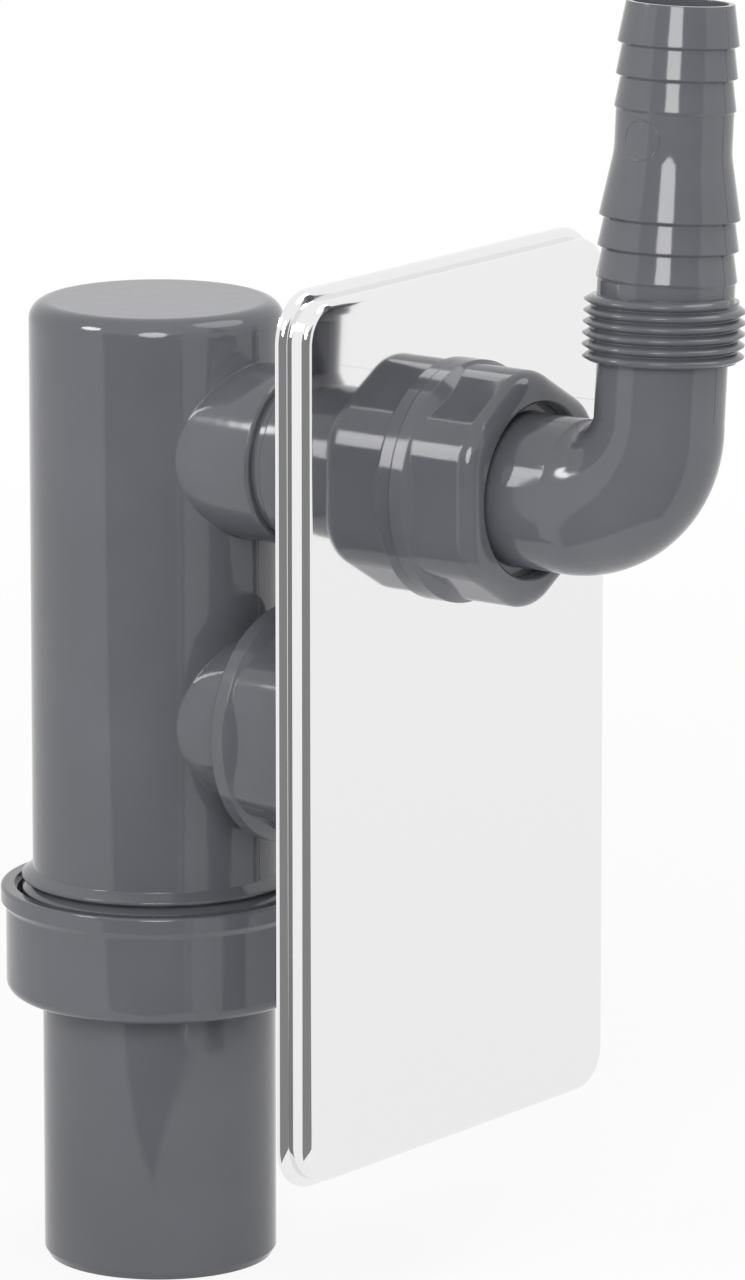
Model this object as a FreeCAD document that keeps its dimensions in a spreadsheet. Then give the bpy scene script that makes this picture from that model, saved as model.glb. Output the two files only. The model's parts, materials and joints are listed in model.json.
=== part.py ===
"""Concealed washing machine trap: closed cylinder with a dip wall, hose nozzle elbow and cover plate.

The origin is on the trap's upright axis at the lower end of the outlet spigot. +Z is up, and the
cover plate faces -Y. A "reach" is a distance in front of the upright axis, so it runs along -Y.
"""
import FreeCAD, Part
import os
import Sketcher

DIMENSIONS = [
    # The outlet socket: a DN 50 spigot under a wide collar that takes the trap's lower end.
    ("spigot_radius", 25.0, "outside radius of the outlet spigot"),
    ("spigot_wall", 1.8, "wall of the outlet spigot"),
    ("spigot_length", 58.0, "spigot end to the underside of the collar"),
    ("spigot_lead", 1.6, "length of the chamfer at the spigot's end"),
    ("spigot_lead_depth", 0.9, "radial depth of that chamfer"),
    ("collar_radius", 32.8, "outside radius of the collar's band"),
    ("collar_height", 23.8, "underside of the collar to the top of its rim"),
    ("collar_floor", 2.0, "thickness of the collar's floor"),
    ("collar_round", 3.0, "rounding of the collar's lower edge"),
    ("rim_radius", 33.9, "outside radius of the collar's rim"),
    ("rim_height", 3.4, "height of the collar's rim"),
    ("rim_flare", 1.4, "height of the slope from the band out to the rim"),
    ("rim_round", 0.7, "rounding of the rim's outer edges"),
    ("mouth_radius", 31.0, "inside radius of the collar's mouth"),
    ("ledge_radius", 30.4, "inside radius of the ledge that keeps the seal in"),
    ("ledge_depth", 1.2, "rim top to the ledge"),
    ("ledge_height", 2.6, "thickness of the ledge"),
    ("chamber_radius", 31.2, "inside radius of the seal's chamber"),
    # The trap body: a closed cylinder with two stubs at the front.
    ("body_radius", 27.0, "outside radius of the trap body"),
    ("body_wall", 2.6, "wall of the trap body"),
    ("body_round", 4.0, "rounding of the body's top edge"),
    ("skirt_radius", 29.3, "outside radius of the two skirts above the collar"),
    ("skirt_slope", 1.6, "height of a skirt's slope"),
    ("skirt_edge", 0.6, "thickness of a skirt's edge"),
    ("skirt_root", 27.5, "radius of the groove between the skirts"),
    ("skirt_sink", 1.2, "top of the collar's rim down to the lower skirt's edge"),
    ("skirt_spacing", 2.9, "lower skirt to upper skirt"),
    ("stub_radius", 18.8, "outside radius of both stubs"),
    ("stub_edge", 0.6, "chamfer at the end of the inlet stub"),
    ("inlet_drop", 29.5, "the body's closed top down to the inlet axis"),
    ("inlet_stub_reach", 38.0, "reach of the inlet stub"),
    ("inlet_bore", 14.0, "radius of the passage from the stub into the body"),
    ("socket_depth", 12.0, "depth of the inlet stub's socket"),
    ("socket_radius", 17.2, "inside radius of the inlet stub's socket"),
    ("port_rise", 39.7, "top of the collar's rim up to the cleaning port's axis"),
    ("port_spacing", 57.5, "cleaning port's axis up to the inlet axis"),
    ("port_stub_reach", 48.5, "reach of the cleaning port's stub"),
    ("port_bore", 15.5, "radius of the cleaning port"),
    # The dip wall: a plate inside the trap body that makes the water seal.
    ("dip_wall", 2.0, "thickness of the dip wall"),
    ("dip_wall_reach", 9.0, "reach of the dip wall's front"),
    ("dip_wall_drop", 21.5, "cleaning port's axis down to the dip wall's lower edge"),
    # The overflow insert: a floor with a standpipe that sets the water level.
    ("floor_thickness", 2.4, "thickness of the insert's floor"),
    ("standpipe_radius", 14.0, "outside radius of the standpipe"),
    ("standpipe_wall", 1.8, "wall of the standpipe"),
    ("standpipe_setback", 9.0, "standpipe axis behind the trap's axis"),
    ("weir_rise", 33.5, "cleaning port's axis up to the standpipe's overflow edge"),
    # Seals and gaskets.
    ("fit_gap", 0.1, "clearance of a piece that is pushed home"),
    ("run_gap", 0.3, "clearance of a piece that turns by hand"),
    ("flat_seal", 2.0, "thickness of the flat gaskets"),
    ("lip_seal_height", 6.0, "height of the collar's lip seal"),
    ("lip_seal_lip", 1.5, "thickness of the lip seal's lip"),
    ("ring_section", 1.5, "side of the square section of the inlet tube's sealing ring"),
    ("ring_groove_depth", 1.5, "depth of the groove for the sealing ring"),
    ("ring_groove_width", 2.6, "width of the groove for the sealing ring"),
    ("ring_setback", 5.0, "inner end of the inlet tube to the middle of its sealing ring"),
    # The inlet tube.
    ("tube_radius", 18.75, "outside radius of the inlet tube's barrel"),
    ("tube_bore", 14.3, "inside radius of the inlet tube's inner end"),
    ("tube_wall", 2.6, "wall of the inlet tube's barrel"),
    ("tube_stop_gap", 3.3, "open gap between the inlet stub and the barrel"),
    ("union_thread_radius", 20.95, "outside radius of the G 1 1/4 union thread"),
    ("union_thread_root", 19.5, "root radius of the union thread"),
    ("union_thread_length", 24.0, "length of the union thread"),
    # The pressed cover plate.
    ("plate_width", 110.0, "width of the cover plate"),
    ("plate_height", 188.7, "height of the cover plate"),
    ("plate_drop", 48.3, "inlet axis down to the cover plate's middle"),
    ("plate_corner", 10.5, "corner radius of the cover plate"),
    ("plate_reach", 72.7, "reach of the cover plate's rear rim"),
    ("plate_sheet", 0.8, "thickness of the plate's sheet"),
    ("step_height", 2.3, "height of the plate's outer step"),
    ("step_width", 1.9, "width of the plate's outer step"),
    ("panel_height", 4.4, "height of the raised panel above the step"),
    ("press_round", 1.8, "rounding of the plate's pressed edges"),
    ("plate_hole_gap", 0.55, "clearance of the plate's hole on the union thread"),
    # The union nut and the cleaning cap, which share one grip.
    ("grip_flats", 46.2, "across the flats of the six-sided grip"),
    ("grip_round", 12.0, "rounding of the grip's six corners"),
    ("grip_edge", 4.0, "rounding of the grip's front edge"),
    ("grip_collar_radius", 25.4, "radius of the round collar at the grip's base"),
    ("grip_collar_height", 3.0, "height of that collar"),
    ("grip_collar_slope", 2.4, "height and depth of the slope behind the flats"),
    ("nut_height", 19.5, "height of the union nut"),
    ("nut_lip", 3.2, "thickness of the union nut's front lip"),
    ("nut_opening", 18.3, "radius of the union nut's opening"),
    ("opening_edge", 0.5, "chamfer of the union nut's opening"),
    ("cap_floor", 3.0, "thickness of the cleaning cap's end"),
    ("cap_reach", 33.5, "reach of the cleaning cap's rear edge"),
    # The elbow with its hose nozzle; heights are above the inlet axis, along the nozzle.
    ("elbow_reach", 128.3, "reach of the nozzle's axis"),
    ("elbow_swivel", 4.5, "degrees that the nozzle leans about the inlet axis"),
    ("elbow_flange_radius", 20.3, "radius of the elbow's flange inside the nut"),
    ("elbow_flange", 3.0, "thickness of the elbow's flange"),
    ("elbow_wall", 2.3, "wall of the elbow"),
    ("elbow_bend", 18.0, "centre-line radius of the elbow's bend"),
    ("leg_radius", 16.2, "outside radius of the elbow's level leg"),
    ("riser_radius", 13.4, "outside radius of the elbow's upright leg"),
    ("hose_thread_root", 15.1, "root radius of the G 1 hose thread"),
    ("hose_thread_foot", 30.6, "lower end of the hose thread"),
    ("hose_thread_length", 12.7, "length of the hose thread"),
    ("barb_undercut", 0.6, "height of a barb's underside"),
    ("lower_neck_radius", 14.1, "radius between the hose thread and the lower barbs"),
    ("lower_barb_foot", 47.3, "height of the lowest barb's edge"),
    ("lower_barb_pitch", 6.3, "lower barb to lower barb"),
    ("lower_barb_radius", 14.45, "radius of the lower barbs' edges"),
    ("lower_barb_waist", 13.45, "radius above each lower barb"),
    ("upper_neck_radius", 12.05, "radius between the two sets of barbs"),
    ("upper_neck_foot", 73.0, "lower end of that neck"),
    ("upper_neck_blend", 14.0, "rounding from the taper into that neck"),
    ("upper_barb_foot", 82.1, "height of the first upper barb's edge"),
    ("upper_barb_pitch", 6.6, "upper barb to upper barb"),
    ("upper_barb_radius", 12.45, "radius of the upper barbs' edges"),
    ("upper_barb_waist", 11.5, "radius above each upper barb"),
    ("tip_radius", 11.1, "outside radius of the nozzle's tip"),
    ("tip_height", 103.6, "height of the nozzle's tip"),
    ("tip_wall", 1.2, "wall at the nozzle's tip"),
]

BARBS_IN_A_SET = 3
BEND_STEPS = 6
GRIP_SIDES = 6
TOUCH = 1e-4

doc = FreeCAD.newDocument("washing_machine_trap")
dims = doc.addObject("Spreadsheet::Sheet", "dims")
for row, (alias, size, note) in enumerate(DIMENSIONS, start=1):
    dims.set(f"A{row}", note)
    dims.set(f"B{row}", str(size))
    dims.setAlias(f"B{row}", alias)
doc.recompute()


def value(expression):
    """The number that an expression of sheet cells gives now."""
    return float(dims.evalExpression(expression))


def cell(words):
    """The expression with the sheet's name put before each of its aliases."""
    names = {alias for alias, size, note in DIMENSIONS}
    return " ".join(f"dims.{word}" if word in names else word for word in words.split())


def new_body(label):
    body = doc.addObject("PartDesign::Body", label)
    body.Label = label
    return body


def new_sketch(body, name, role, offset="0"):
    """A sketch on one of the body's origin planes, moved along the plane's normal."""
    sketch = body.newObject("Sketcher::SketchObject", name)
    plane = next(item for item in body.Origin.OriginFeatures if item.Role == role)
    sketch.AttachmentSupport = [(plane, "")]
    sketch.MapMode = "FlatFace"
    if offset != "0":
        sketch.setExpression("AttachmentOffset.Base.z", cell(offset))
    return sketch


def fix_point(sketch, item, end, across, along):
    """Hold one point of the sketch at two expressions, or on an axis where one of them is 0."""
    for kind, axis, words in (("DistanceX", -2, across), ("DistanceY", -1, along)):
        if words == "0":
            sketch.addConstraint(Sketcher.Constraint("PointOnObject", item, end, axis))
        else:
            size = value(cell(words))
            index = sketch.addConstraint(Sketcher.Constraint(kind, -1, 1, item, end, size))
            sketch.setExpression(f"Constraints[{index}]", cell(words))


def arc_between(first, last, radius, leftwards):
    """The short arc from first to last; leftwards bends it to the left of that direction."""
    chord = last - first
    half = chord.Length / 2
    aside = FreeCAD.Vector(-chord.y, chord.x, 0).normalize()
    height = max(radius * radius - half * half, 0) ** 0.5
    centre = (first + last) / 2 + aside * (height if leftwards else -height)
    start, stop = (first, last) if leftwards else (last, first)
    circle = Part.Circle(centre, FreeCAD.Vector(0, 0, 1), radius)
    return Part.ArcOfCircle(circle, circle.parameter(start), circle.parameter(stop))


def outline(sketch, corners):
    """A closed outline: corners are (across, along), or with "left" or "right" and a radius
    where an arc that turns that way leads from the corner to the next one."""
    spots = [FreeCAD.Vector(value(cell(c[0])), value(cell(c[1])), 0) for c in corners]
    sides = []
    for number, corner in enumerate(corners):
        first, last = spots[number], spots[(number + 1) % len(spots)]
        if len(corner) == 2:
            sides.append((sketch.addGeometry(Part.LineSegment(first, last)), 1, 2))
            continue
        leftwards = corner[2] == "left"
        radius = value(cell(corner[3]))
        arc = sketch.addGeometry(arc_between(first, last, radius, leftwards))
        index = sketch.addConstraint(Sketcher.Constraint("Radius", arc, radius))
        sketch.setExpression(f"Constraints[{index}]", cell(corner[3]))
        sides.append((arc, 1, 2) if leftwards else (arc, 2, 1))
    for number, (item, start, stop) in enumerate(sides):
        after, after_start, _ = sides[(number + 1) % len(sides)]
        sketch.addConstraint(Sketcher.Constraint("Coincident", item, stop, after, after_start))
        fix_point(sketch, item, start, corners[number][0], corners[number][1])


def ring(sketch, radius, across="0", along="0"):
    """A full circle round a fixed point."""
    centre = FreeCAD.Vector(value(cell(across)), value(cell(along)), 0)
    size = value(cell(radius))
    item = sketch.addGeometry(Part.Circle(centre, FreeCAD.Vector(0, 0, 1), size))
    index = sketch.addConstraint(Sketcher.Constraint("Radius", item, size))
    sketch.setExpression(f"Constraints[{index}]", cell(radius))
    fix_point(sketch, item, 3, across, along)


def turn(body, name, corners, kind="Revolution", role="XZ_Plane", axis="V_Axis"):
    """Turn an outline round an axis of its sketch, to add it to the body or cut it away."""
    sketch = new_sketch(body, name + "_section", role)
    outline(sketch, corners)
    feature = body.newObject("PartDesign::" + kind, name)
    feature.Profile = sketch
    feature.ReferenceAxis = (sketch, [axis])
    feature.Angle = 360
    return feature


def push(body, name, draw, length, kind="Pad", role="XY_Plane", offset="0", backwards=False):
    """Pad or pocket what draw puts in a sketch. Both run along the plane's normal by default."""
    sketch = new_sketch(body, name + "_section", role, offset)
    draw(sketch)
    feature = body.newObject("PartDesign::" + kind, name)
    feature.Profile = sketch
    feature.setExpression("Length", cell(length))
    feature.Reversed = backwards if kind == "Pad" else not backwards
    return feature


def edges_where(feature, wanted):
    doc.recompute()
    return [f"Edge{number}" for number, edge in enumerate(feature.Shape.Edges, start=1) if wanted(edge)]


def soften(body, name, kind, size, wanted):
    """Fillet or chamfer the edges of the body's tip that pass a test."""
    base = body.Tip
    feature = body.newObject("PartDesign::" + kind, name)
    feature.Base = (base, edges_where(base, wanted))
    feature.setExpression("Radius" if kind == "Fillet" else "Size", cell(size))
    return feature


def level_edge(height):
    """A test for edges that lie flat at one height of the body's own frame."""
    def wanted(edge):
        box = edge.BoundBox
        return abs(box.ZMin - height) < TOUCH and abs(box.ZMax - height) < TOUCH
    return wanted


def circle_edge(radius, height):
    """A test for a full circle of one radius at one height."""
    def wanted(edge):
        flat = level_edge(height)(edge)
        return flat and hasattr(edge.Curve, "Radius") and abs(edge.Curve.Radius - radius) < TOUCH
    return wanted


def upright_edge(edge):
    """A test for straight edges along the body's own Z axis."""
    box = edge.BoundBox
    return box.XLength < TOUCH and box.YLength < TOUCH


def face_forward(body, reach, height):
    """Place a body so that its own Z axis runs forward along the reach."""
    body.Placement.Rotation = FreeCAD.Rotation(FreeCAD.Vector(1, 0, 0), 90)
    body.setExpression("Placement.Base.y", f"-({cell(reach)})")
    body.setExpression("Placement.Base.z", cell(height))


# Places that several pieces share.
COLLAR_INSIDE = "( spigot_length + collar_floor )"
RIM_TOP = "( spigot_length + collar_height )"
PORT_HEIGHT = f"( {RIM_TOP} + port_rise )"
INLET_HEIGHT = f"( {PORT_HEIGHT} + port_spacing )"
BODY_TOP = f"( {INLET_HEIGHT} + inlet_drop )"
SKIRT_HEIGHT = f"( {RIM_TOP} - skirt_sink )"
DIP_WALL_FOOT = f"( {PORT_HEIGHT} - dip_wall_drop )"
PLATE_MIDDLE = f"( {INLET_HEIGHT} - plate_drop )"
FLOOR_TOP = f"( {COLLAR_INSIDE} + floor_thickness )"
BODY_FOOT = f"( {FLOOR_TOP} + flat_seal )"
BODY_INSIDE = "( body_radius - body_wall )"
LEDGE_UNDERSIDE = f"( {RIM_TOP} - ledge_depth - ledge_height )"
PLATE_FACE = "( plate_reach + step_height + panel_height )"
NUT_FRONT = f"( {PLATE_FACE} + nut_height )"
FLANGE_FRONT = f"( {NUT_FRONT} - nut_lip - run_gap )"
FLANGE_BACK = f"( {FLANGE_FRONT} - elbow_flange )"
TUBE_FRONT = f"( {FLANGE_BACK} - flat_seal )"
TUBE_BACK = "( inlet_stub_reach - socket_depth + run_gap )"
CAP_INSIDE = "( port_stub_reach + flat_seal )"


def make_outlet_socket():
    """Spigot and collar, moulded in one piece."""
    body = new_body("outlet_socket")
    band_top = f"{RIM_TOP} - rim_height - rim_flare"
    turn(body, "outlet_socket_wall", [
        ("spigot_radius - spigot_wall", "0"),
        ("spigot_radius - spigot_lead_depth", "0"),
        ("spigot_radius", "spigot_lead"),
        ("spigot_radius", "spigot_length"),
        ("collar_radius - collar_round", "spigot_length", "left", "collar_round"),
        ("collar_radius", "spigot_length + collar_round"),
        ("collar_radius", band_top),
        ("rim_radius", f"{RIM_TOP} - rim_height"),
        ("rim_radius", f"{RIM_TOP} - rim_round", "left", "rim_round"),
        ("rim_radius - rim_round", RIM_TOP),
        ("mouth_radius", RIM_TOP),
        ("mouth_radius", f"{RIM_TOP} - ledge_depth"),
        ("ledge_radius", f"{RIM_TOP} - ledge_depth"),
        ("ledge_radius", LEDGE_UNDERSIDE),
        ("chamber_radius", LEDGE_UNDERSIDE),
        ("chamber_radius", COLLAR_INSIDE),
        ("spigot_radius - spigot_wall", COLLAR_INSIDE),
    ])
    return body


def make_trap_body():
    """Closed cylinder with two skirts and two front stubs, moulded in one piece."""
    body = new_body("trap_body")
    upper_skirt = f"{SKIRT_HEIGHT} + skirt_spacing"
    turn(body, "trap_barrel", [
        ("0", BODY_FOOT),
        ("body_radius", BODY_FOOT),
        ("body_radius", SKIRT_HEIGHT),
        ("skirt_radius", SKIRT_HEIGHT),
        ("skirt_radius", f"{SKIRT_HEIGHT} + skirt_edge"),
        ("skirt_root", f"{SKIRT_HEIGHT} + skirt_edge + skirt_slope"),
        ("skirt_root", upper_skirt),
        ("skirt_radius", upper_skirt),
        ("skirt_radius", f"{upper_skirt} + skirt_edge"),
        ("body_radius", f"{upper_skirt} + skirt_edge + skirt_slope"),
        ("body_radius", f"{BODY_TOP} - body_round", "left", "body_round"),
        ("body_radius - body_round", BODY_TOP),
        ("0", BODY_TOP),
    ])
    for name, height, reach in (
        ("inlet_stub", INLET_HEIGHT, "inlet_stub_reach"),
        ("port_stub", PORT_HEIGHT, "port_stub_reach"),
    ):
        push(body, name, lambda s, h=height: ring(s, "stub_radius", along=h), reach, role="XZ_Plane")
    turn(body, "trap_hollow", [
        ("0", BODY_FOOT),
        (BODY_INSIDE, BODY_FOOT),
        (BODY_INSIDE, f"{BODY_TOP} - body_wall"),
        ("0", f"{BODY_TOP} - body_wall"),
    ], kind="Groove")
    for name, height, start, radius, length in (
        ("inlet_passage", INLET_HEIGHT, "dip_wall_reach", "inlet_bore", "inlet_stub_reach"),
        ("inlet_socket", INLET_HEIGHT, "inlet_stub_reach - socket_depth", "socket_radius", "socket_depth"),
        ("port_passage", PORT_HEIGHT, "dip_wall_reach", "port_bore", "port_stub_reach"),
    ):
        push(body, name, lambda s, h=height, r=radius: ring(s, r, along=h), length,
             kind="Pocket", role="XZ_Plane", offset=start)
    mouth = -value(cell("inlet_stub_reach"))
    rim = value(cell("stub_radius"))

    def stub_mouth(edge):
        at_mouth = abs(edge.BoundBox.YMin - mouth) < TOUCH and abs(edge.BoundBox.YMax - mouth) < TOUCH
        return at_mouth and abs(edge.Curve.Radius - rim) < TOUCH

    soften(body, "stub_mouth_edge", "Chamfer", "stub_edge", stub_mouth)
    return body


def make_dip_wall():
    """Plate that hangs in the trap body from its closed top, with a curved edge on both sides."""
    body = new_body("dip_wall")
    edge_radius = f"( {BODY_INSIDE} - fit_gap )"
    front, rear = "dip_wall_reach", "( dip_wall_reach - dip_wall )"
    half_front = f"sqrt( {edge_radius} ^ 2 - {front} ^ 2 )"
    half_rear = f"sqrt( {edge_radius} ^ 2 - {rear} ^ 2 )"
    push(body, "dip_wall_plate", lambda s: outline(s, [
        (f"- {half_front}", f"- {front}"),
        (half_front, f"- {front}", "left", edge_radius),
        (half_rear, f"- {rear}"),
        (f"- {half_rear}", f"- {rear}", "left", edge_radius),
    ]), f"{BODY_TOP} - body_wall - {DIP_WALL_FOOT}", offset=DIP_WALL_FOOT)
    return body


def make_overflow_insert():
    """Floor disc with the standpipe whose top edge sets the water level."""
    body = new_body("overflow_insert")
    height = f"{PORT_HEIGHT} + weir_rise - {COLLAR_INSIDE}"
    push(body, "insert_floor", lambda s: ring(s, "chamber_radius - fit_gap"), "floor_thickness",
         offset=COLLAR_INSIDE)
    push(body, "standpipe", lambda s: ring(s, "standpipe_radius", along="standpipe_setback"),
         height, offset=COLLAR_INSIDE)
    push(body, "standpipe_bore",
         lambda s: ring(s, "standpipe_radius - standpipe_wall", along="standpipe_setback"),
         height, kind="Pocket", offset=COLLAR_INSIDE)
    return body


def make_socket_seal():
    """Rubber lip ring between the collar's chamber and the trap body."""
    body = new_body("socket_seal")
    inside = "body_radius + fit_gap"
    outside = "chamber_radius - fit_gap"
    top = f"{LEDGE_UNDERSIDE} - fit_gap"
    turn(body, "socket_seal_section", [
        (f"{outside} - lip_seal_lip", f"{top} - lip_seal_height"),
        (outside, f"{top} - lip_seal_height"),
        (outside, top),
        (f"{outside} - lip_seal_lip", top),
        (inside, f"{top} - lip_seal_height / 2"),
        (inside, f"{top} - lip_seal_height / 2 - lip_seal_lip"),
        (f"{outside} - lip_seal_lip", f"{top} - lip_seal_lip * 2"),
    ])
    return body


def make_flat_ring(label, inner, outer, foot):
    """Flat rubber gasket about the body's own Z axis."""
    body = new_body(label)
    turn(body, label + "_section", [
        (inner, foot),
        (outer, foot),
        (outer, f"{foot} + flat_seal"),
        (inner, f"{foot} + flat_seal"),
    ])
    return body


def make_flat_gasket(label, inner, outer, reach, height):
    """Flat rubber gasket that faces forward."""
    body = new_body(label)
    turn(body, label + "_section", [
        (inner, "0"),
        (outer, "0"),
        (outer, "flat_seal"),
        (inner, "flat_seal"),
    ])
    face_forward(body, reach, height)
    return body


def make_inlet_tube():
    """Tube from the inlet stub through the cover plate, with the union thread at its front."""
    body = new_body("inlet_tube")
    barrel = f"( inlet_stub_reach + tube_stop_gap - {TUBE_BACK} )"
    front = f"( {TUBE_FRONT} - {TUBE_BACK} )"
    plug = "socket_radius - fit_gap"
    groove_low = "ring_setback - ring_groove_width / 2"
    groove_high = "ring_setback + ring_groove_width / 2"
    turn(body, "inlet_tube_wall", [
        ("tube_bore", "0"),
        (plug, "0"),
        (plug, groove_low),
        (f"{plug} - ring_groove_depth", groove_low),
        (f"{plug} - ring_groove_depth", groove_high),
        (plug, groove_high),
        (plug, barrel),
        ("tube_radius", barrel),
        ("tube_radius", f"{front} - union_thread_length"),
        ("union_thread_root", f"{front} - union_thread_length"),
        ("union_thread_root", front),
        ("tube_radius - tube_wall", front),
        ("tube_radius - tube_wall", f"{barrel} + tube_wall"),
        ("tube_bore", f"{barrel} + tube_wall"),
    ])
    face_forward(body, TUBE_BACK, INLET_HEIGHT)
    return body


def make_inlet_seal():
    """Square-section rubber ring in the groove of the inlet tube."""
    body = new_body("inlet_seal")
    outer = "socket_radius - fit_gap / 2"
    inner = f"{outer} - ring_section"
    low, high = "ring_setback - ring_section / 2", "ring_setback + ring_section / 2"
    turn(body, "inlet_seal_ring", [
        (inner, low),
        (outer, low),
        (outer, high),
        (inner, high),
    ])
    face_forward(body, TUBE_BACK, INLET_HEIGHT)
    return body


def draw_plate(sketch, inset):
    """Rounded rectangle of the cover plate, drawn in from its outer edge."""
    half_width = f"( plate_width / 2 - {inset} )"
    half_height = f"( plate_height / 2 - {inset} )"
    corner = f"( plate_corner - {inset} )"
    outline(sketch, [
        (f"{corner} - {half_width}", f"-{half_height}"),
        (f"{half_width} - {corner}", f"-{half_height}", "left", corner),
        (half_width, f"{corner} - {half_height}"),
        (half_width, f"{half_height} - {corner}", "left", corner),
        (f"{half_width} - {corner}", half_height),
        (f"{corner} - {half_width}", half_height, "left", corner),
        (f"-{half_width}", f"{half_height} - {corner}"),
        (f"-{half_width}", f"{corner} - {half_height}", "left", corner),
    ])


def make_plate_form(label, skin):
    """Stepped panel with rounded edges, smaller all round by one skin."""
    body = new_body(label)
    step = f"( step_height - {skin} )"
    panel = f"( step_height + panel_height - {skin} )"
    push(body, label + "_step", lambda s: draw_plate(s, skin), step)
    push(body, label + "_panel", lambda s: draw_plate(s, f"( step_width + {skin} )"), panel)
    rounded = f"press_round - {skin}"
    soften(body, label + "_panel_edge", "Fillet", rounded, level_edge(value(cell(panel))))
    half_width = value(cell(f"plate_width / 2 - {skin}"))
    half_height = value(cell(f"plate_height / 2 - {skin}"))
    corner = value(cell("plate_corner"))
    flat = level_edge(value(cell(step)))

    def step_edge(edge):
        middle = edge.valueAt((edge.FirstParameter + edge.LastParameter) / 2)
        aside = max(abs(middle.x) - half_width, abs(middle.y) - half_height)
        round_centre = FreeCAD.Vector(half_width + value(cell(skin)) - corner,
                                      half_height + value(cell(skin)) - corner, 0)
        from_centre = FreeCAD.Vector(abs(middle.x), abs(middle.y), 0) - round_centre
        on_corner = abs(from_centre.Length - corner + value(cell(skin))) < TOUCH
        return flat(edge) and (abs(aside) < TOUCH or on_corner)

    soften(body, label + "_step_edge", "Fillet", rounded, step_edge)
    return body


def make_cover_plate():
    """Pressed stainless panel, open at the back, with a hole for the union thread."""
    outside = make_plate_form("plate_outside", "0")
    inside = make_plate_form("plate_inside", "plate_sheet")
    push(inside, "plate_hole",
         lambda s: ring(s, "union_thread_radius + plate_hole_gap", along="plate_drop"),
         "step_height + panel_height + plate_sheet")
    plate = doc.addObject("Part::Cut", "cover_plate")
    plate.Label = "cover_plate"
    plate.Base = outside
    plate.Tool = inside
    face_forward(plate, "plate_reach", PLATE_MIDDLE)
    return plate


def make_grip(label, height, bore, bore_depth):
    """Six-sided grip with rounded corners and front, a round collar at its base and a bore."""
    body = new_body(label)
    hexagon = body.newObject("PartDesign::AdditivePrism", label + "_flats")
    hexagon.Polygon = GRIP_SIDES
    hexagon.setExpression("Circumradius", cell("grip_flats / sqrt( 3 )"))
    hexagon.setExpression("Height", cell(height))
    corner_up = FreeCAD.Rotation(FreeCAD.Vector(0, 0, 1), 90)
    hexagon.Placement = FreeCAD.Placement(FreeCAD.Vector(0, 0, 0), corner_up)
    soften(body, label + "_corners", "Fillet", "grip_round", upright_edge)
    soften(body, label + "_front_edge", "Fillet", "grip_edge", level_edge(value(cell(height))))
    turn(body, label + "_collar", [
        ("0", "0"),
        ("grip_collar_radius", "0"),
        ("grip_collar_radius", "grip_collar_height"),
        ("grip_collar_radius - grip_collar_slope", "grip_collar_height + grip_collar_slope"),
        ("0", "grip_collar_height + grip_collar_slope"),
    ])
    turn(body, label + "_bore", [
        ("0", "0"),
        (bore, "0"),
        (bore, bore_depth),
        ("0", bore_depth),
    ], kind="Groove")
    return body


def make_union_nut():
    """Nut that holds the elbow's flange on the inlet tube and the cover plate on the wall."""
    body = make_grip("union_nut", "nut_height", "union_thread_radius + run_gap", "nut_height - nut_lip")
    push(body, "nut_mouth", lambda s: ring(s, "nut_opening"), "nut_height", kind="Pocket")
    height = value(cell("nut_height"))
    mouth = circle_edge(value(cell("nut_opening")), height)
    soften(body, "nut_mouth_edge", "Chamfer", "opening_edge", mouth)
    face_forward(body, PLATE_FACE, INLET_HEIGHT)
    return body


def make_cleaning_cap():
    """Blind cap on the cleaning port."""
    inside = f"( {CAP_INSIDE} - cap_reach )"
    body = make_grip("cleaning_cap", f"{inside} + cap_floor", "stub_radius + run_gap", inside)
    face_forward(body, "cap_reach", PORT_HEIGHT)
    return body


def nozzle_section():
    """Outside of the upright leg from the bend to the tip, as corners up the nozzle."""
    thread_top = "hose_thread_foot + hose_thread_length"
    corners = [
        ("0", "elbow_bend"),
        ("riser_radius", "elbow_bend"),
        ("riser_radius", "hose_thread_foot"),
        ("hose_thread_root", "hose_thread_foot"),
        ("hose_thread_root", thread_top),
        ("lower_neck_radius", thread_top),
    ]
    for level, neck in (("lower", "lower_neck_radius"), ("upper", "upper_neck_radius")):
        for number in range(BARBS_IN_A_SET):
            edge = f"{level}_barb_foot + {number} * {level}_barb_pitch"
            waist = neck if number == 0 else f"{level}_barb_waist"
            corners.append((waist, f"{edge} - barb_undercut"))
            corners.append((f"{level}_barb_radius", edge))
        if level == "lower":
            corners.append(("upper_neck_radius", "upper_neck_foot"))
    corners.append(("tip_radius", "tip_height"))
    corners.append(("0", "tip_height"))
    return corners


def bend_sections(body, name, shrink):
    """Round sections along the elbow's quarter bend, from the level leg to the upright one."""
    sections = []
    for step in range(BEND_STEPS + 1):
        share = f"{step} / {BEND_STEPS}"
        angle = f"( {share} * 90 deg )"
        sketch = new_sketch(body, f"{name}_{step}", "XZ_Plane")
        sketch.AttachmentOffset = FreeCAD.Placement(
            FreeCAD.Vector(0, 0, 0), FreeCAD.Rotation(FreeCAD.Vector(1, 0, 0), -90 * step / BEND_STEPS))
        sketch.setExpression("AttachmentOffset.Base.y", cell(f"elbow_bend * ( 1 - cos( {angle} ) )"))
        sketch.setExpression("AttachmentOffset.Base.z", cell(f"elbow_bend * ( sin( {angle} ) - 1 )"))
        ring(sketch, f"leg_radius + ( riser_radius - leg_radius ) * {share} - {shrink}")
        sections.append(sketch)
    return sections


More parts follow.
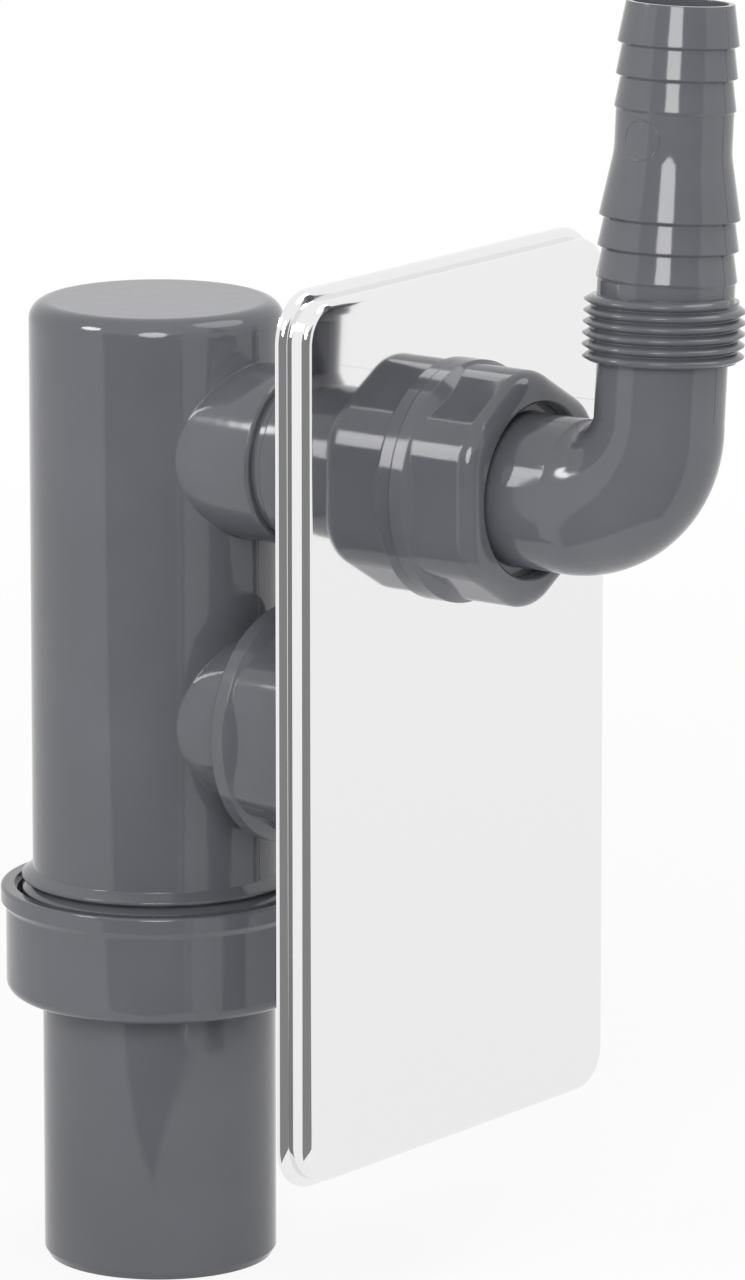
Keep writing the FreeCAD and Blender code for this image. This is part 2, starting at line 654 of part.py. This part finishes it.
def make_elbow_nozzle():
    """Flanged elbow and two-size hose nozzle, moulded in one piece.

    Its own origin is where the nozzle's axis crosses the inlet axis, with Y back to the trap.
    """
    body = new_body("elbow_nozzle")
    turn(body, "nozzle", nozzle_section())
    neck = circle_edge(value(cell("upper_neck_radius")), value(cell("upper_neck_foot")))
    soften(body, "nozzle_neck_blend", "Fillet", "upper_neck_blend", neck)
    flange_back = f"( elbow_reach - {FLANGE_BACK} )"
    flange_front = f"( elbow_reach - {FLANGE_FRONT} )"
    turn(body, "elbow_leg", [
        ("elbow_bend", "0"),
        (flange_back, "0"),
        (flange_back, "elbow_flange_radius"),
        (flange_front, "elbow_flange_radius"),
        (flange_front, "leg_radius"),
        ("elbow_bend", "leg_radius"),
    ], role="YZ_Plane", axis="H_Axis")
    for name, kind, shrink in (("bend", "AdditiveLoft", "0"), ("bend_bore", "SubtractiveLoft", "elbow_wall")):
        sections = bend_sections(body, name, shrink)
        loft = body.newObject("PartDesign::" + kind, name + "_loft")
        loft.Profile = sections[0]
        loft.Sections = sections[1:]
    turn(body, "leg_bore", [
        ("elbow_bend", "0"),
        (flange_back, "0"),
        (flange_back, "leg_radius - elbow_wall"),
        ("elbow_bend", "leg_radius - elbow_wall"),
    ], kind="Groove", role="YZ_Plane", axis="H_Axis")
    barbs_top = f"lower_barb_foot + {BARBS_IN_A_SET - 1} * lower_barb_pitch"
    turn(body, "nozzle_bore", [
        ("0", "elbow_bend"),
        ("riser_radius - elbow_wall", "elbow_bend"),
        ("riser_radius - elbow_wall", barbs_top),
        ("tip_radius - tip_wall", "upper_neck_foot"),
        ("tip_radius - tip_wall", "tip_height"),
        ("0", "tip_height"),
    ], kind="Groove")
    body.Placement.Rotation = FreeCAD.Rotation(FreeCAD.Vector(0, 1, 0), value(cell("elbow_swivel")))
    body.setExpression("Placement.Base.y", f"-{cell('elbow_reach')}")
    body.setExpression("Placement.Base.z", cell(INLET_HEIGHT))
    return body


parts = [
    make_outlet_socket(),
    make_trap_body(),
    make_dip_wall(),
    make_overflow_insert(),
    make_socket_seal(),
    make_flat_ring("overflow_seal", BODY_INSIDE, "body_radius", FLOOR_TOP),
    make_inlet_tube(),
    make_inlet_seal(),
    make_cover_plate(),
    make_flat_gasket("union_gasket", "tube_radius - tube_wall", "elbow_flange_radius", TUBE_FRONT,
                     INLET_HEIGHT),
    make_union_nut(),
    make_elbow_nozzle(),
    make_flat_gasket("cap_gasket", "port_bore", "stub_radius", "port_stub_reach", PORT_HEIGHT),
    make_cleaning_cap(),
]
doc.recompute()

for item in doc.Objects:
    if {"Invalid", "Error"} & set(item.State):
        raise RuntimeError(f"{item.Label} failed: {item.State}")
for part in parts:
    if part.Shape.isNull() or not part.Shape.isValid() or len(part.Shape.Solids) != 1:
        raise RuntimeError(f"{part.Label} is not one valid solid")

os.makedirs("parts", exist_ok=True)
for part in parts:
    part.Shape.exportStep(f"parts/{part.Label}.step")
    print(f"{part.Label}: {part.Shape.Volume / 1000:.2f} cubic centimetres")
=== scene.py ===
import json
import math

import bmesh
import bpy
from mathutils import Matrix, Vector
from mathutils.bvhtree import BVHTree


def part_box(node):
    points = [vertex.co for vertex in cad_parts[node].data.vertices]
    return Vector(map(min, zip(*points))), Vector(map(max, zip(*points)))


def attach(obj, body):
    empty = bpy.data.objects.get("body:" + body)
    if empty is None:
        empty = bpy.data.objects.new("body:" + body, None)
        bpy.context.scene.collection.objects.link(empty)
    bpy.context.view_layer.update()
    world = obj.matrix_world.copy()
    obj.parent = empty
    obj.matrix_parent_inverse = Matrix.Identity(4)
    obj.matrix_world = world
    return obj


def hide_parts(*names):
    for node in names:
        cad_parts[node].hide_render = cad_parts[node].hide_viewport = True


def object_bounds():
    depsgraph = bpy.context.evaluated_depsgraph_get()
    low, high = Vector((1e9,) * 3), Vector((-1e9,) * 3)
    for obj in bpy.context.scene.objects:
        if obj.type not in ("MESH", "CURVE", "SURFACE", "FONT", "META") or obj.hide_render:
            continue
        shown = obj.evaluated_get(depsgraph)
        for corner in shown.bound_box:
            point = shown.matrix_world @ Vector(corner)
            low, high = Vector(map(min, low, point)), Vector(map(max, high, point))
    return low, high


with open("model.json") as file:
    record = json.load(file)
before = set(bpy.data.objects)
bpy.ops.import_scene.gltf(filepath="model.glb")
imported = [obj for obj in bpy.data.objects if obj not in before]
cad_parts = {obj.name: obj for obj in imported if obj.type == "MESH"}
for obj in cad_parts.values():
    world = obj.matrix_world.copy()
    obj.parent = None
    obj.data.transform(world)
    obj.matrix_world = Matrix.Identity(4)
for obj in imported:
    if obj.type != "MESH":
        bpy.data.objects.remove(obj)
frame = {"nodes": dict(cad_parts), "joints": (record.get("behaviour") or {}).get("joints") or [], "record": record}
cad_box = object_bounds()

MM = 0.001
UP = Vector((0, 0, 1))
FORWARD = Vector((0, -1, 0))
LEFT = Vector((-1, 0, 0))

# The axes of the inlet, the cleaning port and the nozzle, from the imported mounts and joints.
MOUNTS = {mount["name"]: mount for mount in frame["record"]["mounts"]}
JOINTS = {joint["name"]: joint for joint in frame["joints"]}
NOZZLE_TIP = Vector(MOUNTS["hose_nozzle"]["pos_m"])
NOZZLE_UP = Vector(MOUNTS["hose_nozzle"]["axis"]).normalized()
INLET_HEIGHT = JOINTS["elbow_swivel"]["pos_m"][2]
PORT_HEIGHT = JOINTS["cleaning_cap_turn"]["pos_m"][2]
NOZZLE_FOOT = NOZZLE_TIP - NOZZLE_UP * ((NOZZLE_TIP.z - INLET_HEIGHT) / NOZZLE_UP.z)

# The hose thread is G 1, and the union thread is G 1 1/4; both have eleven turns to the inch.
THREAD_PITCH = 25.4 / 11 * MM
HOSE_CREST = 33.25 / 2 * MM
HOSE_ROOT = 15.1 * MM
UNION_CREST = 41.9 / 2 * MM
UNION_ROOT = 19.5 * MM

# Rays that find a surface start this far from its axis, outside the body and the nozzle.
RAY_START = 60 * MM


# Colours and materials.

def colour(code):
    """Linear colour from an sRGB hex code."""
    channels = []
    for start in (1, 3, 5):
        channel = int(code[start:start + 2], 16) / 255
        channels.append(channel / 12.92 if channel <= 0.04045 else ((channel + 0.055) / 1.055) ** 2.4)
    return (*channels, 1.0)


def add(tree, kind, settings=None, **links):
    """Add a shader node; settings fill its properties or sockets, links feed its sockets."""
    node = tree.nodes.new("ShaderNode" + kind)
    for name, setting in (settings or {}).items():
        if isinstance(name, str) and hasattr(node, name):
            setattr(node, name, setting)
        else:
            node.inputs[name].default_value = setting
    for name, source in links.items():
        key = int(name[1:]) if name[0] == "_" else name.replace("_", " ")
        tree.links.new(source, node.inputs[key])
    return node


def new_material(name):
    material = bpy.data.materials.new(name)
    material.use_nodes = True
    material.node_tree.nodes.clear()
    return material, material.node_tree


def per_metre(size_mm):
    """Texture scale at which one feature of the pattern measures this many millimetres."""
    return 1 / (size_mm * MM)


def moulded_polypropylene():
    """Grey polypropylene, injection moulded in a polished tool: glossy, with broad soft reflections,
    a faint cloudiness where the melt flowed and an orange-peel ripple too shallow to break them."""
    material, tree = new_material("moulded_polypropylene")
    place = add(tree, "TexCoord").outputs["Object"]
    flow = add(tree, "TexNoise", {"Scale": per_metre(38), "Detail": 3.0, "Roughness": 0.55}, Vector=place)
    tint = add(tree, "ValToRGB", None, Fac=flow.outputs["Fac"])
    tint.color_ramp.elements[0].position = 0.3
    tint.color_ramp.elements[0].color = colour("#5C5D62")
    tint.color_ramp.elements[1].position = 0.7
    tint.color_ramp.elements[1].color = colour("#63646A")
    haze = add(tree, "TexNoise", {"Scale": per_metre(9), "Detail": 4.0}, Vector=place)
    gloss = add(tree, "MapRange", {"To Min": 0.07, "To Max": 0.12}, Value=haze.outputs["Fac"])
    ripple = add(tree, "TexNoise", {"Scale": per_metre(5), "Detail": 1.0}, Vector=place)
    edge = add(tree, "Bevel", {"samples": 6, "Radius": 0.4 * MM})
    bump = add(tree, "Bump", {"Strength": 0.25, "Distance": 0.12 * MM},
               Height=ripple.outputs["Fac"], Normal=edge.outputs["Normal"])
    shader = add(tree, "BsdfPrincipled", {"IOR": 1.49}, Base_Color=tint.outputs["Color"],
                 Roughness=gloss.outputs["Result"], Normal=bump.outputs["Normal"])
    add(tree, "OutputMaterial", None, Surface=shader.outputs["BSDF"])
    return material


def polished_stainless():
    """Stainless sheet, pressed and mirror polished: clear reflections, faint upright streaks left by
    the polishing wheel and the slightest waviness of the sheet."""
    material, tree = new_material("polished_stainless")
    place = add(tree, "TexCoord").outputs["Object"]
    stretched = add(tree, "Mapping", {"Scale": (1, 1, 0.02)}, Vector=place)
    streaks = add(tree, "TexNoise", {"Scale": per_metre(1.2), "Detail": 4.0},
                  Vector=stretched.outputs["Vector"])
    gloss = add(tree, "MapRange", {"To Min": 0.035, "To Max": 0.075}, Value=streaks.outputs["Fac"])
    wave = add(tree, "TexNoise", {"Scale": per_metre(60), "Detail": 1.0}, Vector=place)
    bump = add(tree, "Bump", {"Strength": 0.05, "Distance": 0.2 * MM}, Height=wave.outputs["Fac"])
    shader = add(tree, "BsdfPrincipled", {"Base Color": colour("#EDEDEE"), "Metallic": 1.0},
                 Roughness=gloss.outputs["Result"], Normal=bump.outputs["Normal"])
    add(tree, "OutputMaterial", None, Surface=shader.outputs["BSDF"])
    return material


def moulded_rubber():
    """Black EPDM rubber, moulded: dull, with a fine powdery grain."""
    material, tree = new_material("moulded_rubber")
    place = add(tree, "TexCoord").outputs["Object"]
    grain = add(tree, "TexNoise", {"Scale": per_metre(0.5), "Detail": 3.0}, Vector=place)
    tint = add(tree, "ValToRGB", None, Fac=grain.outputs["Fac"])
    tint.color_ramp.elements[0].color = colour("#1B1B1C")
    tint.color_ramp.elements[1].color = colour("#272728")
    bump = add(tree, "Bump", {"Strength": 0.3, "Distance": 0.03 * MM}, Height=grain.outputs["Fac"])
    shader = add(tree, "BsdfPrincipled", {"Roughness": 0.62, "IOR": 1.52},
                 Base_Color=tint.outputs["Color"], Normal=bump.outputs["Normal"])
    add(tree, "OutputMaterial", None, Surface=shader.outputs["BSDF"])
    return material


FINISHES = {
    "grey_polypropylene": moulded_polypropylene(),
    "polished_stainless": polished_stainless(),
    "black_rubber": moulded_rubber(),
}


def finish_nodes():
    """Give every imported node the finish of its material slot."""
    for row in frame["record"]["subparts"]:
        slots = frame["nodes"][row["node"]].data.materials
        slots.clear()
        slots.append(FINISHES[row["material_slot"]])


# Pieces that the solids leave out.

def new_piece(name, mesh, body, slot):
    """Link a bmesh as a smooth piece that rides on a body and has the finish of a slot."""
    bmesh.ops.recalc_face_normals(mesh, faces=mesh.faces)
    data = bpy.data.meshes.new(name)
    mesh.to_mesh(data)
    mesh.free()
    data.shade_smooth()
    data.materials.append(FINISHES[slot])
    piece = bpy.data.objects.new(name, data)
    bpy.context.scene.collection.objects.link(piece)
    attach(piece, body)
    return piece


def sweep(sections, closed=False):
    """Skin a row of sections that have as many points each, and cap its ends."""
    mesh = bmesh.new()
    rings = [[mesh.verts.new(point) for point in section] for section in sections]
    pairs = list(zip(rings, rings[1:]))
    if closed:
        pairs.append((rings[-1], rings[0]))
    for first, second in pairs:
        count = len(first)
        for k in range(count):
            mesh.faces.new((first[k], first[(k + 1) % count], second[(k + 1) % count], second[k]))
    if not closed:
        mesh.faces.new(rings[0][::-1])
        mesh.faces.new(rings[-1])
    return mesh


def across_axis(axis, towards):
    """Two unit vectors square to an axis, the first as near as can be to a wanted direction."""
    first = (towards - axis * axis.dot(towards)).normalized()
    return first, axis.cross(first)


def helix_thread(name, foot, axis, root, crest, length, start, sink, body):
    """Right-hand thread ridge round an axis from a start direction, with a run-out at both ends."""
    steps_per_turn = 96
    run_out = 0.12
    base_half = THREAD_PITCH * 0.46
    crest_half = 0.13 * MM
    side, ahead = across_axis(axis, start)
    turns = (length - 2 * base_half) / THREAD_PITCH
    count = round(turns * steps_per_turn)
    sections = []
    for step in range(count + 1):
        turn = turns * step / count
        fade = min(1.0, turn / run_out, (turns - turn) / run_out)
        height = base_half + turn * THREAD_PITCH
        outward = side * math.cos(2 * math.pi * turn) + ahead * math.sin(2 * math.pi * turn)
        top = root + (crest - root) * fade
        sections.append([foot + outward * radius + axis * (height + offset) for radius, offset in (
            (root - sink, -base_half), (root, -base_half), (top, -crest_half),
            (top, crest_half), (root, base_half), (root - sink, base_half))])
    return new_piece(name, sweep(sections), body, "grey_polypropylene")


def make_threads():
    """Ridges of the hose thread on the elbow and of the union thread on the inlet tube."""
    hose_length, union_length = 14.85 * MM, 23.6 * MM
    hose_foot = Vector(MOUNTS["hose_thread"]["pos_m"]) - NOZZLE_UP * (hose_length / 2)
    helix_thread("hose_thread_ridge", hose_foot, NOZZLE_UP, HOSE_ROOT, HOSE_CREST, hose_length,
                 start=-FORWARD, sink=1.8 * MM, body="elbow")
    tube_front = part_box("inlet_tube")[0][1]
    union_foot = Vector((0, tube_front + union_length, INLET_HEIGHT))
    helix_thread("union_thread_ridge", union_foot, FORWARD, UNION_ROOT, UNION_CREST, union_length,
                 start=-UP, sink=0.4 * MM, body="trap")


def skin_of(node):
    """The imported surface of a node, for rays."""
    mesh = frame["nodes"][node].data
    return BVHTree.FromPolygons([v.co for v in mesh.vertices], [p.vertices for p in mesh.polygons])


def along_skin(skin, rays):
    """Where rays that start outside first meet a surface, each with the way back out."""
    spots = []
    for origin, heading in rays:
        hit = skin.ray_cast(origin, heading)[0]
        if hit is not None:
            spots.append((hit, -heading))
    return spots


def raised_line(name, spots, width, height, body, closed=False):
    """Fine raised line with a rounded back that follows spots on a surface."""
    sink = 0.15 * MM
    sections = []
    for k, (spot, outward) in enumerate(spots):
        before = spots[k - 1][0] if closed or k > 0 else spot
        after = spots[(k + 1) % len(spots)][0] if closed or k < len(spots) - 1 else spot
        aside = (after - before).cross(outward).normalized()
        sections.append([spot + aside * (width * across) + outward * rise for across, rise in (
            (-0.5, -sink), (-0.3, height * 0.7), (0, height), (0.3, height * 0.7), (0.5, -sink))])
    return new_piece(name, sweep(sections, closed), body, "grey_polypropylene")


def steps(start, stop, spacing):
    """Evenly spaced values from start to stop, both included."""
    count = max(1, round(abs(stop - start) / spacing))
    return [start + (stop - start) * k / count for k in range(count + 1)]


def make_parting_lines():
    """Fine lines where the halves of the moulds met, in the middle plane of body and nozzle. They stop
    at the skirts, the stubs and the rounded top of the body, and at the bend and thread of the elbow."""
    width, height = 0.34 * MM, 0.09 * MM
    body_spacing, nozzle_spacing = 1.0 * MM, 0.3 * MM
    above_skirts = 86.0 * MM
    stub = 19.4 * MM
    below_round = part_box("trap_body")[1][2] - 4.2 * MM
    body_runs = (
        ("front_foot", FORWARD, above_skirts, PORT_HEIGHT - stub),
        ("front_middle", FORWARD, PORT_HEIGHT + stub, INLET_HEIGHT - stub),
        ("front_top", FORWARD, INLET_HEIGHT + stub, below_round),
        ("rear", -FORWARD, above_skirts, below_round),
    )
    skin = skin_of("trap_body")
    for name, side, foot, top in body_runs:
        rays = [(side * RAY_START + UP * z, -side) for z in steps(foot, top, body_spacing)]
        raised_line(f"body_parting_{name}", along_skin(skin, rays), width, height, "trap")
    bend_top, thread_foot, thread_top = 19.0 * MM, 30.0 * MM, 44.4 * MM
    below_tip = (NOZZLE_TIP - NOZZLE_FOOT).length - 0.3 * MM
    nozzle_runs = (("riser", bend_top, thread_foot), ("barbs", thread_top, below_tip))
    skin = skin_of("elbow_nozzle")
    for name, side in (("front", FORWARD), ("rear", -FORWARD)):
        for part, foot, top in nozzle_runs:
            rays = [(NOZZLE_FOOT + NOZZLE_UP * h + side * RAY_START, -side)
                    for h in steps(foot, top, nozzle_spacing)]
            raised_line(f"nozzle_parting_{name}_{part}", along_skin(skin, rays), width, height, "elbow")


def make_ejector_mark():
    """Round witness line of the ejector pin on the side of the nozzle's taper."""
    pin_radius, pin_height, ray_count = 4.1 * MM, 76.0 * MM, 72
    width, height = 0.4 * MM, 0.12 * MM
    outward = across_axis(NOZZLE_UP, LEFT)[0]
    middle = NOZZLE_FOOT + NOZZLE_UP * pin_height + outward * RAY_START
    rays = []
    for k in range(ray_count):
        angle = 2 * math.pi * k / ray_count
        across, upwards = pin_radius * math.cos(angle), pin_radius * math.sin(angle)
        rays.append((middle + FORWARD * across + NOZZLE_UP * upwards, -outward))
    spots = along_skin(skin_of("elbow_nozzle"), rays)
    raised_line("nozzle_ejector_mark", spots, width, height, "elbow", closed=True)


def plate_ring(low, high, inset):
    """Points and outward directions round the cover plate's outline, drawn in from its edge."""
    corner, corner_steps, spacing = 10.5 * MM - inset, 20, 4.0 * MM
    middle = Vector(((low[0] + high[0]) / 2, 0, (low[2] + high[2]) / 2))
    across = (high[0] - low[0]) / 2 - inset - corner
    upwards = (high[2] - low[2]) / 2 - inset - corner
    ring = []
    quarters = ((1, 1), (-1, 1), (-1, -1), (1, -1))
    for quarter, (x_side, z_side) in enumerate(quarters):
        centre = middle + Vector((across * x_side, 0, upwards * z_side))
        for step in range(corner_steps + 1):
            angle = math.radians(90) * (quarter + step / corner_steps)
            outward = Vector((math.cos(angle), 0, math.sin(angle)))
            ring.append((centre + outward * corner, outward))
        side = 2 * (across if quarter % 2 == 0 else upwards)
        outward = ring[-1][1]
        along = Vector((-outward.z, 0, outward.x))
        start = ring[-1][0]
        count = round(side / spacing)
        ring += [(start + along * (side * k / count), outward) for k in range(1, count)]
    return ring


def pressed_round(inset, top, radius, facing):
    """Spots round a pressed edge from its side to its face; facing is 1 outside and -1 inside."""
    arc_steps = 10
    spots = []
    for k in range(arc_steps + 1):
        angle = math.radians(90) * k / arc_steps
        outward, forward = math.cos(angle), math.sin(angle)
        spots.append((inset + radius * (1 - outward), top - radius * (1 - forward),
                      facing * outward, facing * forward))
    return spots


def plate_profile():
    """Strips across the plate's pressed edge from the rear rim to the face and back inside. Each spot
    is an inset from the outline and a height over the rear rim, both in millimetres, and the outward
    and forward shares of the surface's direction."""
    sheet, step, panel, step_width, press_round = 0.8, 2.3, 6.7, 1.9, 1.8
    inner_step, inner_panel, inner_width = step - sheet, panel - sheet, step_width + sheet
    inner_round = press_round - sheet
    outside = [
        [(0, 0, 1, 0), *pressed_round(0, step, press_round, 1), (step_width, step, 0, 1)],
        [(step_width, step, 1, 0), *pressed_round(step_width, panel, press_round, 1)],
    ]
    inside = [
        [*reversed(pressed_round(inner_width, inner_panel, inner_round, -1)), (inner_width, inner_step, -1, 0)],
        [(inner_width, inner_step, 0, -1), *reversed(pressed_round(sheet, inner_step, inner_round, -1)),
         (sheet, 0, -1, 0)],
        [(sheet, 0, 0, -1), (0, 0, 0, -1)],
    ]
    return outside, inside


def make_cover_plate():
    """Pressed cover plate with finely rounded edges, in place of its solid, which has coarse ones."""
    low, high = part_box("cover_plate")
    hole_centre, hole_radius = Vector((0, 0, INLET_HEIGHT)), 21.5 * MM
    spots, faces, leanings = [], [], []
    numbers = {}

    def ring_numbers(inset, height, hole=False):
        key = (round(inset, 4), round(height, 4), hole)
        if key not in numbers:
            ring = [spot for spot, outward in plate_ring(low, high, inset * MM)]
            if hole:
                ring = [hole_centre + (spot - hole_centre).normalized() * hole_radius for spot in ring]
            numbers[key] = range(len(spots), len(spots) + len(ring))
            spots.extend(spot + FORWARD * (height * MM - high[1]) for spot in ring)
        return numbers[key]

    def skin(first, second, first_leaning, second_leaning):
        count = len(first)
        for k in range(count):
            after = (k + 1) % count
            faces.append((first[k], first[after], second[after], second[k]))
            leanings.extend((first_leaning[k], first_leaning[after],
                             second_leaning[after], second_leaning[k]))

    outwards = [outward for spot, outward in plate_ring(low, high, 0)]
    outside, inside = plate_profile()
    for strip in outside + inside:
        for (inset, height, out, ahead), (inset_2, height_2, out_2, ahead_2) in zip(strip, strip[1:]):
            skin(ring_numbers(inset, height), ring_numbers(inset_2, height_2),
                 [outward * out + FORWARD * ahead for outward in outwards],
                 [outward * out_2 + FORWARD * ahead_2 for outward in outwards])
    face, rear = outside[1][-1], inside[0][0]
    edge = ring_numbers(face[0], face[1])
    front_hole = ring_numbers(face[0], face[1], hole=True)
    rear_hole = ring_numbers(rear[0], rear[1], hole=True)
    forwards, backwards = [FORWARD] * len(edge), [-FORWARD] * len(edge)
    inwards = [hole_centre - spots[n] for n in front_hole]
    inwards = [Vector((inward.x, 0, inward.z)).normalized() for inward in inwards]
    skin(edge, front_hole, forwards, forwards)
    skin(front_hole, rear_hole, inwards, inwards)
    skin(rear_hole, ring_numbers(rear[0], rear[1]), backwards, backwards)
    data = bpy.data.meshes.new("polished_cover_plate")
    data.from_pydata(spots, [], faces)
    data.shade_smooth()
    data.normals_split_custom_set(leanings)
    data.materials.append(FINISHES["polished_stainless"])
    plate = bpy.data.objects.new("polished_cover_plate", data)
    bpy.context.scene.collection.objects.link(plate)
    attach(plate, "trap")
    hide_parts("cover_plate")


# Studio.

def through_camera_or_gloss(tree):
    """1 where a ray comes from the camera, a reflection or a refraction, and 0 elsewhere."""
    path = add(tree, "LightPath")
    either = add(tree, "Math", {"operation": "MAXIMUM"}, _0=path.outputs["Is Camera Ray"],
                 _1=path.outputs["Is Glossy Ray"])
    return add(tree, "Math", {"operation": "MAXIMUM"}, _0=either.outputs[0],
               _1=path.outputs["Is Transmission Ray"]).outputs[0]


def make_world(fill):
    """White all round to the eye, and a dimmer even fill on the object."""
    world = bpy.data.worlds.new("studio")
    bpy.context.scene.world = world
    world.use_nodes = True
    tree = world.node_tree
    tree.nodes.clear()
    dim = add(tree, "Background", {"Color": (1, 1, 1, 1), "Strength": fill})
    white = add(tree, "Background", {"Color": (1, 1, 1, 1), "Strength": 1.0})
    mix = add(tree, "MixShader", None, _0=through_camera_or_gloss(tree), _1=dim.outputs[0],
              _2=white.outputs[0])
    add(tree, "OutputWorld", None, Surface=mix.outputs[0])


def make_floor():
    """White floor under the spigot that keeps a faint shadow of the object."""
    half, height = 20.0, cad_box[0][2] - 0.05 * MM
    material, tree = new_material("white_floor")
    place = add(tree, "TexCoord").outputs["Object"]
    distance = add(tree, "VectorMath", {"operation": "LENGTH"}, _0=place)
    glow = add(tree, "MapRange", {"From Min": 0.2, "From Max": 0.9, "To Min": 0.88, "To Max": 1.0},
               Value=distance.outputs["Value"])
    seen = add(tree, "Math", {"operation": "MULTIPLY"}, _0=through_camera_or_gloss(tree),
               _1=glow.outputs["Result"])
    paint = add(tree, "BsdfDiffuse", {"Color": colour("#F4F4F4")})
    white = add(tree, "Emission", {"Color": (1, 1, 1, 1), "Strength": 1.0})
    mix = add(tree, "MixShader", None, _0=seen.outputs[0], _1=paint.outputs[0], _2=white.outputs[0])
    add(tree, "OutputMaterial", None, Surface=mix.outputs[0])
    corners = [(half * x, half * y, height) for x, y in ((-1, -1), (1, -1), (1, 1), (-1, 1))]
    data = bpy.data.meshes.new("floor")
    data.from_pydata(corners, [], [(0, 1, 2, 3)])
    data.materials.append(material)
    floor = bpy.data.objects.new("floor", data)
    bpy.context.scene.collection.objects.link(floor)


def direction(azimuth, elevation):
    """Unit vector from the object towards a place round it; azimuth 0 is in front."""
    a, e = math.radians(azimuth), math.radians(elevation)
    return Vector((math.sin(a) * math.cos(e), -math.cos(a) * math.cos(e), math.sin(e)))


def make_dark_card():
    """Dark studio card round the camera's side, on the floor and upright, that only reflections see.
    It draws the dark lines in the rounded edges of the polished plate."""
    middle = Vector((0, -0.075, cad_box[0][2] + 0.4 * MM))
    from_azimuth, to_azimuth, azimuth_step = -104, 1, 5
    inner_start, inner_growth, outer, top = 0.09, 0.08, 1.25, 0.75
    material, tree = new_material("dark_card")
    glow = add(tree, "Emission", {"Color": (1, 1, 1, 1), "Strength": 0.25})
    add(tree, "OutputMaterial", None, Surface=glow.outputs[0])
    corners, faces = [], []
    for azimuth in range(from_azimuth, to_azimuth + 1, azimuth_step):
        away = direction(azimuth, 0)
        inner = inner_start + inner_growth * (azimuth - from_azimuth) / (to_azimuth - from_azimuth)
        corners += [middle + away * inner, middle + away * outer, middle + away * outer + UP * top]
    for first in range(0, len(corners) - 3, 3):
        faces += [(first, first + 1, first + 4, first + 3), (first + 1, first + 2, first + 5, first + 4)]
    data = bpy.data.meshes.new("dark_card")
    data.from_pydata(corners, [], faces)
    data.materials.append(material)
    card = bpy.data.objects.new("dark_card", data)
    bpy.context.scene.collection.objects.link(card)
    card.visible_camera = False
    card.visible_diffuse = False
    card.visible_transmission = False
    card.visible_shadow = False


def softbox(name, azimuth, elevation, distance, width, height, radiance, lights=True, mirrored=True):
    """Oval soft light that faces the object; it lights surfaces, shows in reflections, or both."""
    lamp = bpy.data.lights.new(name, "AREA")
    lamp.shape = "ELLIPSE"
    lamp.size = width
    lamp.size_y = height
    lamp.energy = radiance * math.pi * (math.pi / 4 * width * height)
    light = bpy.data.objects.new(name, lamp)
    centre = Vector((0, -0.06, 0.14))
    away = direction(azimuth, elevation)
    light.location = centre + away * distance
    light.rotation_euler = away.to_track_quat("Z", "Y").to_euler()
    light.visible_camera = False
    light.visible_diffuse = lights
    light.visible_glossy = mirrored
    bpy.context.scene.collection.objects.link(light)


def make_lights():
    """A key by the camera, a broad light from the rear left that reflections leave out, a small near
    one there that only reflections show, and a high one from the front right."""
    softbox("key_softbox", azimuth=-58, elevation=28, distance=1.0, width=0.44, height=0.50, radiance=9.0)
    softbox("left_softbox", azimuth=-135, elevation=25, distance=1.5, width=0.8, height=0.9, radiance=2.6,
            mirrored=False)
    softbox("left_accent", azimuth=-127.7, elevation=38.9, distance=0.512, width=0.13, height=0.13,
            radiance=16.0, lights=False)
    softbox("top_softbox", azimuth=40, elevation=56, distance=1.4, width=0.9, height=0.9, radiance=2.6)


def make_camera():
    """Camera fitted to the photograph's edges: a long lens, two metres away."""
    azimuth, elevation, distance = -53.71, 12.41, 2.0
    sideways, upwards = 5.47 * MM, 30.42 * MM
    focal_pixels, image_height, film_height = 9496.75, 1280, 36.0
    back = direction(azimuth, elevation)
    right = Vector((math.cos(math.radians(azimuth)), math.sin(math.radians(azimuth)), 0))
    up = back.cross(right)
    aim = Vector((0, -0.05, 0.11)) + right * sideways + up * upwards
    lens = bpy.data.cameras.new("camera")
    lens.sensor_fit = "VERTICAL"
    lens.sensor_height = film_height
    lens.lens = focal_pixels / image_height * film_height
    lens.clip_end = 50
    camera = bpy.data.objects.new("camera", lens)
    turned = Matrix((right, up, back)).transposed().to_4x4()
    camera.matrix_world = Matrix.Translation(aim + back * distance) @ turned
    bpy.context.scene.collection.objects.link(camera)
    bpy.context.scene.camera = camera


finish_nodes()
make_cover_plate()
make_threads()
make_parting_lines()
make_ejector_mark()
make_world(fill=0.45)
make_floor()
make_dark_card()
make_lights()
make_camera()
bpy.context.scene.view_settings.view_transform = "Standard"
